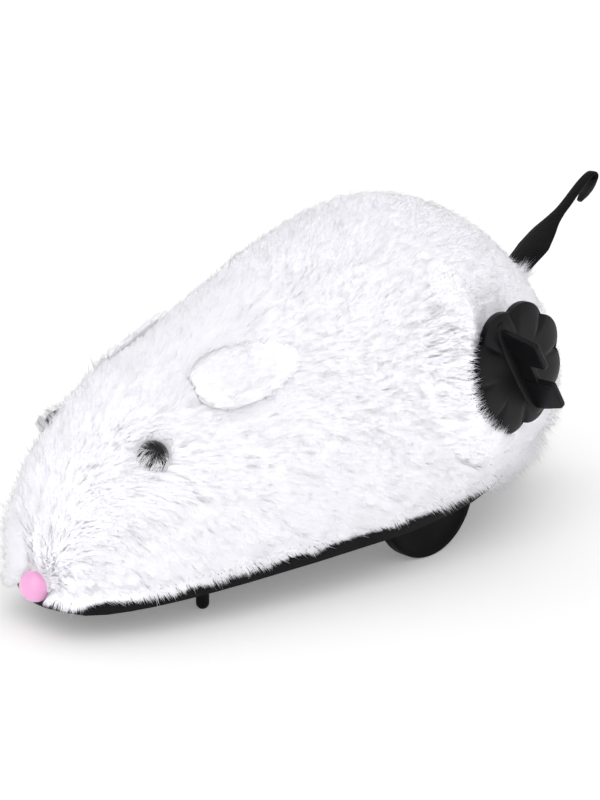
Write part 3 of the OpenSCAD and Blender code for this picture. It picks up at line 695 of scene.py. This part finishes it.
def hem_strands():
    """Strands along the lower edge, which hang over the rim of the base in uneven tufts."""
    random = np.random.default_rng(SEED + 1)
    sweep = random.uniform(END, 180 - END, HEM_COUNT)
    low = random.uniform(1, 24, HEM_COUNT)
    girth = np.where(random.random(HEM_COUNT) < 0.5, low, 360 - low)
    roots = body_point(sweep, girth, SKIN_INSET)
    normals = unit(body_normal(sweep, girth, SKIN_INSET) * (1, 1, 0))
    lie = unit(np.stack([0 * sweep, 0.35 + 0 * sweep, -np.ones(HEM_COUNT)], -1) + 0.1 * normals
               + random.normal(scale=0.16, size=(HEM_COUNT, 3)))
    above = roots[:, 2] - base_z(roots[:, 1]) - BASE_THICK
    tufts = 0.6 * wave(roots, 8, 6) + 0.35 * wave(roots, 9, 2.5)
    drop = np.interp(sweep, *zip(*HEM_DROP)) * random.uniform(0.7, 1.1, HEM_COUNT)
    length = above + np.maximum(drop + tufts, 0.15)
    rise = np.where(sweep < 24, 2.4, 2.0) * random.uniform(0.85, 1.1, HEM_COUNT)
    paths = strand_paths(random, roots, normals, lie, rise, length)
    paths = pull_into_clumps(random, paths, 0.3)
    return without_beads(random, paths, normals, 0.7, 1.1, 0.4)


def end_strands():
    """Strands on the narrow ends of the plush, at the snout and the rump."""
    random = np.random.default_rng(SEED + 3)
    count = END_COUNT
    back = np.where(random.random(count) < 0.5, -1, 1)
    sweep = np.where(back < 0, END, 180 - END).astype(float)
    girth = random.uniform(0, 360, count)
    roots = body_point(sweep, girth, SKIN_INSET)
    inward = random.uniform(0, 1, count)
    roots = roots * np.stack([inward, np.ones(count), np.ones(count)], -1)
    roots[:, 1] += back * (0.5 - 0.4 * inward)
    normals = unit(np.stack([0.5 * np.sign(roots[:, 0]) * inward, back, 0 * inward], -1))
    drop = np.where(back < 0, np.clip(0.3 * (roots[:, 2] - NOSE[2]), -1, 1), -1.0)
    lie = unit(np.stack([0.6 * roots[:, 0], 0 * inward, drop], -1)
               + random.normal(scale=0.3, size=(count, 3)) * (1, 0, 1))
    share = random.uniform(0.5, 0.95, count)
    paths = strand_paths(random, roots, normals, lie, SKIN_INSET * share, 1.9 * share)
    return without_beads(random, paths, normals, 0.8, 1.2, 0.4)


def tail_tuft_strands():
    """Ragged strands that lie along the tail over its root."""
    random = np.random.default_rng(SEED + 4)
    along = unit((0.0, TAIL_SLOPE[0], TAIL_SLOPE[1]))
    out = np.array((0.0, -along[2], along[1]))
    across = random.uniform(-3.6, 3.6, TUFT_COUNT)
    roots = TAIL_ROOT + np.stack([across, random.uniform(-1.5, 0.8, TUFT_COUNT), 0 * across], -1)
    roots = roots + out * random.uniform(0.2, 0.9, TUFT_COUNT)[:, None]
    lie = unit(along + random.normal(scale=0.16, size=(TUFT_COUNT, 3)) + np.outer(across, (0.05, 0, 0)))
    length = random.uniform(2.4, 4.6, TUFT_COUNT) * (1 + 0.3 * wave(roots, 12, 3))
    normals = np.tile(out, (TUFT_COUNT, 1))
    paths = strand_paths(random, roots, normals, lie, random.uniform(0.1, 0.8, TUFT_COUNT), length)
    paths = pull_into_clumps(random, paths, 0.4)
    return (paths, normals, *looks_of(random, paths, 0.8, 1.2, 0.5))


def eye_edge_strands(side):
    """Fine strands that stand round an eye and lie over its edge, mostly from the front and from below."""
    random = np.random.default_rng(SEED + 7 + side)
    count = EYE_COUNT
    out = unit(EYE_OUT * (side, 1, 1))
    first, second = axes_along(out, (0, -1, -0.9))
    turn = random.normal(scale=1.3, size=count)
    ring = first * np.cos(turn)[:, None] + second * np.sin(turn)[:, None]
    roots = EYE * (side, 1, 1) + ring * random.uniform(2.0, 2.7, count)[:, None] + out * 0.5
    lie = unit(-ring + random.normal(scale=0.3, size=(count, 3)))
    over = random.uniform(0.4, 2.0, count)[:, None]
    height = random.uniform(1.5, 1.9, count)[:, None]
    paths = np.stack([roots, roots + out * height + lie * 0.15 * over,
                      roots + out * (height + 0.2) + lie * over], 1)
    return (paths, np.tile(out, (count, 1)), *looks_of(random, paths, 0.4, 0.8, 0.5))


def plush_pile():
    """All the strands of the plush as one piece, since light scatters through the pile as a whole."""
    groups = (coat_strands(), hem_strands(), end_strands(), tail_tuft_strands(),
              *(eye_edge_strands(side) for side in (1, -1)), *(ear_nap(side) for side in (1, -1)))
    mesh = strand_mesh("plush_pile", *(np.concatenate(parts) for parts in zip(*groups)))
    return place_piece("plush_pile", mesh, "chassis", PILE)


# ---- ears ----
EAR_ALONG = np.array((0.25, 0.955, 0.16))
EAR_OUT = np.array((0.61, -0.28, 0.74))
EAR_LENGTH = 14.5
EAR_WIDTH = 9.0
EAR_THICK = 0.9


def ear_half(t):
    """Half the ear's width at a share of its length."""
    return EAR_WIDTH / 2 * np.sqrt(np.sin(math.pi * (0.02 + 0.975 * t) ** 0.75))


def ear_surface(t, u, level, side):
    """Points of an ear: t along it, u across it from -1 to 1, level 0 at its back and 1 at its front."""
    out = unit(EAR_OUT)
    along = unit(EAR_ALONG - np.dot(EAR_ALONG, out) * out)
    across = np.cross(out, along)
    cup = 0.3 * np.abs(u) ** 2.2 * np.sin(math.pi * np.clip(t, 0, 1)) + 0.7 * t ** 1.5 - 0.2
    lens = np.sqrt(np.clip(1 - np.abs(u) ** 3.5, 0, 1)) * np.sqrt(np.clip(1 - np.abs(2 * t - 1) ** 9, 0, 1))
    lift = EAR_THICK * (0.5 + (level - 0.5) * (0.25 + 0.75 * lens)) + cup - 0.1
    p = (EAR + along * (EAR_LENGTH * t)[..., None] + across * (u * ear_half(t))[..., None]
         + out * lift[..., None])
    return p * (side, 1, 1)


def ear(name, side):
    """A felt leaf: two cupped faces, joined round their edge."""
    rows, columns = 40, 25
    t, u = np.meshgrid(np.linspace(0, 1, rows), np.linspace(-1, 1, columns), indexing="ij")
    front, rear = ear_surface(t, u, np.ones_like(t), side), ear_surface(t, u, np.zeros_like(t), side)
    n = rows * columns
    points = np.concatenate([front.reshape(-1, 3), rear.reshape(-1, 3)])
    faces = grid_faces(rows, columns) + [tuple(n + i for i in f[::-1]) for f in grid_faces(rows, columns)]
    edge = (list(range(columns)) + [i * columns + columns - 1 for i in range(1, rows)]
            + [(rows - 1) * columns + k for k in range(columns - 2, -1, -1)]
            + [i * columns for i in range(rows - 2, 0, -1)])
    for a, b in zip(edge, edge[1:] + edge[:1]):
        faces.append((a, b, n + b, n + a))
    solid_piece("felt_" + name, name, points, faces, "chassis", "felt", FELT)


def ear_nap(side):
    """Short, dense nap of an ear's two faces, in lighter tones as painted light."""
    random = np.random.default_rng(SEED + 5 + side)
    count = EAR_COUNT
    t, u = random.uniform(0.0, 1, count), random.uniform(-1, 1, count)
    level = np.where(random.random(count) < 0.75, 1.0, 0.0)
    roots = ear_surface(t, u, level, side)
    out = unit(EAR_OUT * (side, 1, 1))
    across = unit(np.cross(unit(EAR_OUT), EAR_ALONG)) * (side, 1, 1)
    rim = signed_power(u, 6)[:, None] * across
    normals = unit(out * np.where(level > 0, 1, -1)[:, None] * (1 - 0.8 * np.abs(u) ** 6)[:, None] + rim)
    lie = unit(EAR_ALONG * (side, 1, 1) + random.normal(scale=0.25, size=(count, 3)))
    size = random.uniform(0.6, 1.1, count)
    paths = strand_paths(random, roots, normals, lie, 0.25 * size, 1.1 * size)
    widths, twist, tone = looks_of(random, paths, 0.7, 1.1, 0.3)
    # only the lighter tones: painted light that keeps the ear as bright as the fur round it
    return paths, normals, widths, twist, 0.5 + 0.5 * tone


# ---- beads ----
BEAD_SEAM = 0.02                # height of the fine mould line
SHANK = ((-5.4, 0.3), (-5.3, 0.7))


def bead_profile(radius):
    """Ball with a fine mould line round its middle, from its back end to its front."""
    profile = []
    for turn in np.linspace(-87, 87, 45):
        r = radius + BEAD_SEAM * math.exp(-(turn / 1.6) ** 2)
        profile.append((r * math.sin(math.radians(turn)), r * math.cos(math.radians(turn))))
    return profile


def bead_with_shank(name, node, centre, out, radius, slot, material):
    """A bead that looks outward, with the shank that holds it in the shell."""
    ball = [p for p in bead_profile(radius) if p[0] > -radius * 0.9]
    points, faces = lathe([*SHANK, (-radius * 0.97, SHANK[-1][1]), *ball], centre, out, (0, 0.3, 1))
    solid_piece(name, node, points, faces, "chassis", slot, material)


# ---- key ----
KEY_PETALS = 8
KEY_RING = 0.59 * KEY_RADIUS    # radius of the circle of the petals' centres
PETAL_PHASE = 78.8
FACE_SHARES = (0.02, 0.12, 0.24, 0.36, 0.46, 0.56, 0.66, 0.75, 0.83, 0.89, 0.94, 0.975, 0.995)
# (depth under the face, share of the radius) round the rim and over the back
RIM_ROWS = ((0.62, 1.0), (0.9, 1.0), (1.5, 1.0), (1.8, 0.99), (1.95, 0.97), (2.0, 0.93),
            (2.0, 0.5), (2.0, 0.04))
GROOVE_DEPTH = 0.3
EDGE_DROP = 0.6                 # how far the face curves down towards its rim
WING_ANGLE = 123.2
WING_FOOT = -0.6                # the wings start this far over the face
WING_HEIGHT = 5.3
WING_HALF = 7.3                 # half the length of both wings at their foot
WING_TOP = 5.9                  # and at their top
WING_GAP = 1.45
WING_THICK = 0.9
RIB_HALF_LENGTH = 8.0
RIB_HALF_WIDTH = 1.75
# (share of the rib's outline, height over the face)
RIB_ROWS = ((1.06, -0.3), (1.0, -0.06), (0.9, 0.05), (0.75, 0.14), (0.5, 0.2), (0.2, 0.22), (0.05, 0.22))
CORNER_POINTS = 5


def key_rim(turn):
    """Radius of the scalloped disc at an angle from the middle of a petal, and how far across its petal that
    is, from -1 to 1."""
    step = 360 / KEY_PETALS
    off = np.radians((turn + step / 2) % step - step / 2)
    small = KEY_RADIUS - KEY_RING
    radius = KEY_RING * np.cos(off) + np.sqrt(small ** 2 - (KEY_RING * np.sin(off)) ** 2)
    return radius, np.degrees(off) / step * 2


def key_frame(x, r, turn):
    """Point of the key at a radius and an angle from the rear towards the top."""
    return np.stack([x + 0 * r, KEY_AXIS[0] + r * np.cos(turn), KEY_AXIS[1] + r * np.sin(turn)], -1)


def key_disc():
    """Disc of eight petals, with shallow grooves between them near the rim."""
    turns = np.arange(0, 360, 1.5)
    rim, off = key_rim(turns)
    angle = np.radians(turns + PETAL_PHASE)
    between_petals = np.exp(-((np.abs(off) - 1) / 0.16) ** 2)
    rows = []
    for share in FACE_SHARES:
        groove = GROOVE_DEPTH * between_petals * np.clip((share - 0.6) / 0.3, 0, 1)
        dome = EDGE_DROP * np.clip((share - 0.55) / 0.45, 0, 1) ** 3
        rows.append(key_frame(KEY_FACE_X - groove - dome, rim * share, angle))
    for drop, share in RIM_ROWS:
        rows.append(key_frame(KEY_FACE_X - drop + 0 * rim, rim * share, angle))
    faces = tube_faces(len(rows), len(turns))
    solid_piece("key_disc", "winding_key", np.concatenate(rows), faces, "winder", "key_abs", BLACK_KEY)


def rounded_outline(corners):
    """An outline whose corners are ((x, y), radius)."""
    t = np.linspace(0, 1, CORNER_POINTS)[:, None]
    outline = []
    for k, (at, radius) in enumerate(corners):
        at = np.array(at, float)
        a, b = unit(corners[k - 1][0] - at), unit(corners[(k + 1) % len(corners)][0] - at)
        reach = radius / math.tan(math.acos(np.clip(a @ b, -1, 1)) / 2)
        curve = (1 - t) ** 2 * (at + a * reach) + 2 * t * (1 - t) * at + t ** 2 * (at + b * reach)
        outline += list(curve) if radius else [at]
    return outline


def wing_axes():
    """Directions along and across the wings' plane."""
    turn = math.radians(WING_ANGLE)
    return np.array((0, math.cos(turn), math.sin(turn))), np.array((0, -math.sin(turn), math.cos(turn)))


def wing_place(p, depth):
    """p is (distance along the wings' plane, height over the key's face)."""
    along, across = wing_axes()
    return np.array((KEY_FACE_X + p[1], *KEY_AXIS)) + along * p[0] + across * depth


def key_plate(name, corners, thickness, bevel):
    """A flat plate in the wings' plane, with rounded edges."""
    outline = rounded_outline(corners)
    n = len(outline)
    points = [wing_place(p, depth) for depth in (-thickness / 2, thickness / 2) for p in outline]
    faces = [tuple(range(n - 1, -1, -1)), tuple(range(n, 2 * n))]
    faces += [(k, (k + 1) % n, n + (k + 1) % n, n + k) for k in range(n)]
    piece = solid_piece(name, None, points, faces, "winder", "key_abs", BLACK_KEY)
    bevel_edges(piece, bevel, 50, True)


def key_wings():
    """Two finger tabs in one plane, with a web between them."""
    for side, name in ((1, "upper"), (-1, "lower")):
        tab = [((side * WING_HALF, WING_FOOT), 0), ((side * (WING_HALF - 0.1), 1.2), 0.5),
               ((side * WING_TOP, WING_HEIGHT), 0.9), ((side * WING_GAP, WING_HEIGHT), 0.45),
               ((side * WING_GAP, WING_FOOT), 0)]
        key_plate("key_wing_" + name, tab, WING_THICK, 0.26)
    reach, top = WING_GAP + 0.4, WING_HEIGHT * 0.5
    web = [((-reach, WING_FOOT), 0), ((reach, WING_FOOT), 0), ((reach, top), 0), ((-reach, top), 0)]
    key_plate("key_web", web, WING_THICK * 0.86, 0.15)


def key_rib():
    """Faint swelling of the disc along the wings' foot."""
    along, across = wing_axes()
    angles = np.linspace(0, 2 * math.pi, 72, endpoint=False)
    outline = (along * RIB_HALF_LENGTH * signed_power(np.cos(angles), 0.7)[:, None]
               + across * RIB_HALF_WIDTH * signed_power(np.sin(angles), 0.8)[:, None])
    rows = [np.array((KEY_FACE_X + height, *KEY_AXIS)) + outline * share for share, height in RIB_ROWS]
    faces = tube_faces(len(rows), len(angles))
    solid_piece("key_rib", None, np.concatenate(rows), faces, "winder", "key_abs", BLACK_KEY)


# ---- tail ----
# y and z of the middle of the strip
TAIL_PATH = ((29.6, 29.3), (33.5, 32.4), (37.4, 35.4), (44.3, 40.4), (50.3, 44.7),
             (53.6, 46.9), (54.7, 46.8), (54.3, 45.6), (51.4, 42.9))
TAIL_THICK = 0.6
# (share of the strip's length, width)
TAIL_WIDTHS = ((0, 4.6), (0.14, 5.0), (0.27, 5.7), (0.36, 6.2), (0.45, 4.9), (0.52, 3.1), (0.58, 2.2),
               (0.72, 1.85), (0.84, 1.75), (0.88, 1.5), (0.93, 2.0), (0.97, 1.8), (1, 0.9))
TAIL_FOLD = 0.87                # share of the strip's length at which it is folded back


def smooth_path(points, steps):
    """Catmull-Rom curve through the points, evenly spaced by point."""
    points = np.asarray(points, float)
    padded = np.concatenate([[2 * points[0] - points[1]], points, [2 * points[-1] - points[-2]]])
    curve = []
    for i in range(1, len(padded) - 2):
        p0, p1, p2, p3 = padded[i - 1:i + 3]
        curve += [between(p0, p1, p2, p3, t) for t in np.linspace(0, 1, steps, endpoint=False)]
    return np.array(curve + [points[-1]])


def tail():
    """Leather strip: broad and cupped where it leaves the plush, narrow after, with its end folded back."""
    path = smooth_path(TAIL_PATH, 10)
    gaps = np.linalg.norm(np.diff(path, axis=0), axis=1)
    share = np.concatenate([[0], np.cumsum(gaps)]) / gaps.sum()
    width = np.interp(share, *zip(*TAIL_WIDTHS))
    tangent = unit(np.gradient(path, axis=0))
    rows = []
    ring = np.linspace(0, 2 * math.pi, 28, endpoint=False)
    u, v = signed_power(np.cos(ring), 0.5), signed_power(np.sin(ring), 0.6)
    for k in range(len(path)):
        cup = -0.7 * (1 - share[k]) * width[k] / 5.4 * (u ** 2 - 0.35)
        edge = 1 - 0.35 * np.abs(u) ** 6
        lift = v * TAIL_THICK / 2 * edge + cup
        normal = np.array((-tangent[k][1], tangent[k][0]))
        wobble = 0.12 * math.sin(share[k] * 23) * min(1, share[k] * 3)
        x = u * width[k] / 2 + wobble
        rows.append(np.stack([x, path[k][0] + normal[0] * lift, path[k][1] + normal[1] * lift], -1))
    faces = tube_faces(len(rows), len(ring))
    piece = solid_piece("tail_leather", "tail_strip", np.concatenate(rows), faces, "tail", "tail_leather",
                        TAIL_LEATHER)
    store_values(piece.data, "fold", np.repeat(np.clip((share - TAIL_FOLD) / 0.03, 0, 1), len(ring)))


# ---- wheels ----
WHEEL_RADIUS = 9.1
WHEEL_OUTER_X = 16.4            # the outer face, from the middle of the toy
WHEEL_WIDTH = 2.3
HUB_RADIUS = 2.5


def wheel(node, side):
    """Moulded disc: rounded tread edges, a fine step inside the rim and a low hub."""
    profile = [(-WHEEL_WIDTH, 1.0), (-WHEEL_WIDTH, HUB_RADIUS - 0.2), (-WHEEL_WIDTH + 0.2, HUB_RADIUS),
               (-WHEEL_WIDTH + 1, HUB_RADIUS + 0.1), (-WHEEL_WIDTH + 1, WHEEL_RADIUS - 1.6),
               (-WHEEL_WIDTH + 0.15, WHEEL_RADIUS - 1.5), (-WHEEL_WIDTH, WHEEL_RADIUS - 1.35)]
    profile += arc((-WHEEL_WIDTH + 0.4, WHEEL_RADIUS - 0.4), 0.4, -90, 0, 6)
    profile += arc((-0.45, WHEEL_RADIUS - 0.45), 0.45, 0, 85, 7)
    profile += [(0.0, WHEEL_RADIUS - 1.2), (-0.06, WHEEL_RADIUS - 1.3), (-0.07, 6.0), (-0.06, 2.7),
                (0.06, 2.3), (0.1, 1.6), (0.1, 0.2)]
    points, faces = lathe(profile, np.array((side * WHEEL_OUTER_X, 0, AXLE_Z)), (side, 0, 0), (0, 0, 1), 96)
    solid_piece("disc_" + node, node, points, faces, "wheelset", "wheel_abs", BLACK_WHEEL)


# ---- base ----
def base_piece():
    """The moulded base with its edges rounded over."""
    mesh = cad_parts["base"].data.copy()
    mesh.materials.clear()
    bm = bmesh.new()
    bm.from_mesh(mesh)
    bmesh.ops.remove_doubles(bm, verts=bm.verts, dist=0.00002)
    bmesh.ops.dissolve_limit(bm, angle_limit=math.radians(1.5), verts=bm.verts, edges=bm.edges)
    bm.to_mesh(mesh)
    bm.free()
    piece = place_piece("base_moulding", mesh, "chassis", BLACK_BASE)
    bevel_edges(piece, 0.28, 40, False)
    piece.data.shade_smooth()
    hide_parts("base")


# ---- stage ----
CAMERA_AZIMUTH = math.radians(46.5)
CAMERA_ELEVATION = math.radians(15.8)
CAMERA_DISTANCE = 284.0
CAMERA_TARGET = np.array((0.0, -10.1, 21.85))
CAMERA_LENS = 90
SUN_PLACE = np.array((520.0, -490.0, 680.0))
SUN_STRENGTH = 0.9
SUN_SPREAD = 60
ROOM_LIGHT = 0.71
FLOOR_GLOW = 0.2            # keeps the floor's shadows as pale as a light table does
FLOOR_HALF = 12.0           # metres


def look_from(position, target, viewer):
    """Puts a camera or a lamp at a position, turned towards a target."""
    viewer.location = Vector((position * MM).tolist())
    viewer.rotation_mode = "QUATERNION"
    viewer.rotation_quaternion = Vector((target - position).tolist()).to_track_quat("-Z", "Y")
    bpy.context.scene.collection.objects.link(viewer)


def camera():
    """Camera at the photograph's viewing angle."""
    ca, sa = math.cos(CAMERA_AZIMUTH), math.sin(CAMERA_AZIMUTH)
    ce, se = math.cos(CAMERA_ELEVATION), math.sin(CAMERA_ELEVATION)
    lens = bpy.data.cameras.new("camera")
    lens.lens = CAMERA_LENS
    lens.clip_start, lens.clip_end = 0.01, 20
    view = bpy.data.objects.new("camera", lens)
    look_from(CAMERA_TARGET + CAMERA_DISTANCE * np.array((sa * ce, -ca * ce, se)), CAMERA_TARGET, view)
    bpy.context.scene.camera = view


def studio():
    """Even white room light, one wide soft lamp and a pale floor."""
    world = bpy.data.worlds.new("studio")
    world.use_nodes = True
    background = world.node_tree.nodes["Background"]
    background.inputs["Color"].default_value = (1, 1, 1, 1)
    background.inputs["Strength"].default_value = ROOM_LIGHT
    bpy.context.scene.world = world
    overhead = bpy.data.lights.new("overhead", "SUN")
    overhead.energy = SUN_STRENGTH
    overhead.angle = math.radians(SUN_SPREAD)
    look_from(SUN_PLACE, np.zeros(3), bpy.data.objects.new("overhead", overhead))
    n = Nodes("floor_white")
    n.colour(n.noise(6, 3), (0.95, 0.95, 0.952), (0.97, 0.97, 0.972))
    n.roughness(n.noise(20, 3), 0.75, 0.9)
    n.bump(n.noise(900, 2), 0.02)
    n.set(specular=0.1)
    n.shader.inputs["Emission Color"].default_value = (1, 1, 1, 1)
    n.shader.inputs["Emission Strength"].default_value = FLOOR_GLOW
    mesh = bpy.data.meshes.new("floor")
    corners = [(FLOOR_HALF * x, FLOOR_HALF * y, 0) for x, y in ((-1, -1), (1, -1), (1, 1), (-1, 1))]
    mesh.from_pydata(corners, [], [(0, 1, 2, 3)])
    mesh.materials.append(n.material)
    floor = bpy.data.objects.new("floor", mesh)
    bpy.context.scene.collection.objects.link(floor)
    bpy.context.scene.view_settings.view_transform = "Standard"


camera()
studio()
paint_cad_nodes()
base_piece()
skin = plush_skin()
plush_pile()
ear("ear_left", 1)
ear("ear_right", -1)
for side_name, side in (("left", 1), ("right", -1)):
    bead_with_shank("bead_eye_" + side_name, "eye_" + side_name, EYE * (side, 1, 1), EYE_OUT * (side, 1, 1),
                    EYE_RADIUS, "eye_black", EYE_BLACK)
bead_with_shank("bead_nose", "nose_bead", NOSE, -NOSE_BACK, NOSE_RADIUS, "nose_pink", NOSE_PINK)
key_disc()
key_rib()
key_wings()
tail()
wheel("wheel_left", 1)
wheel("wheel_right", -1)
